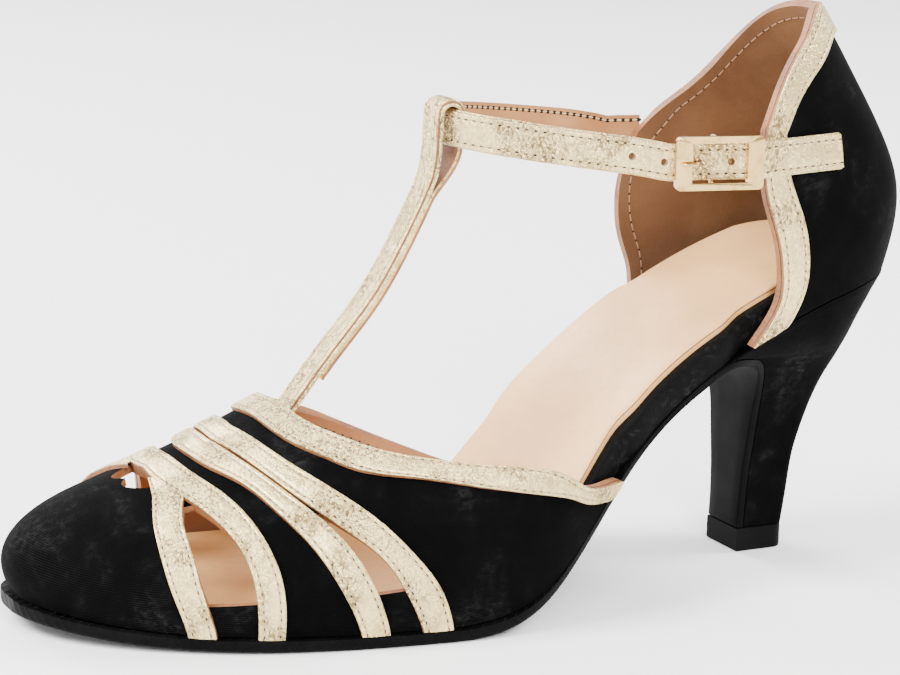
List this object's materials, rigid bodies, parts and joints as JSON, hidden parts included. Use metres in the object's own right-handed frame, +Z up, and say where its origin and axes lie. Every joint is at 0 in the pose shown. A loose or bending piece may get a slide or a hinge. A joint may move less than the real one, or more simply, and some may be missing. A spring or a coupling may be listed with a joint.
{
  "type": "t-strap court shoe",
  "caption": "Closed-toe heeled T-strap court shoe for the left foot, open at the arch, with gold bands over cut windows in the black vamp and a buckled ankle strap.",
  "frame": {"origin": "centre of the heel tip's underside, on the floor", "axes": "+X towards the outer (buckle) side of the left foot, -Y towards the toe, +Z up"},
  "size_m": [0.0861, 0.2261, 0.1368],
  "materials": {
    "velvet_black": "short-pile black velour, matt",
    "board_black": "black wrapped board edge, low sheen",
    "rubber_black": "smooth black sole rubber, satin",
    "leather_gold": "pale gold foiled leather, crinkled, stitched",
    "leather_tan": "smooth tan lining leather",
    "metal_gold": "polished pale gold plated metal"
  },
  "bodies": {
    "root": {"outsole": "rubber_black", "heel_block": "velvet_black", "top_lift": "rubber_black", "insole_board": "board_black", "sock_lining": "leather_tan", "vamp": "velvet_black", "counter": "velvet_black", "strap_1_lateral": "leather_gold", "strap_1_medial": "leather_gold", "strap_2": "leather_gold", "strap_3": "leather_gold", "strap_4": "leather_gold", "throat_band": "leather_gold", "counter_trim": "leather_gold", "t_strap": "leather_gold", "ankle_strap": "leather_gold", "buckle_tab": "leather_gold", "buckle_frame": "metal_gold", "buckle_prong": "metal_gold"}
  },
  "joints": []
}
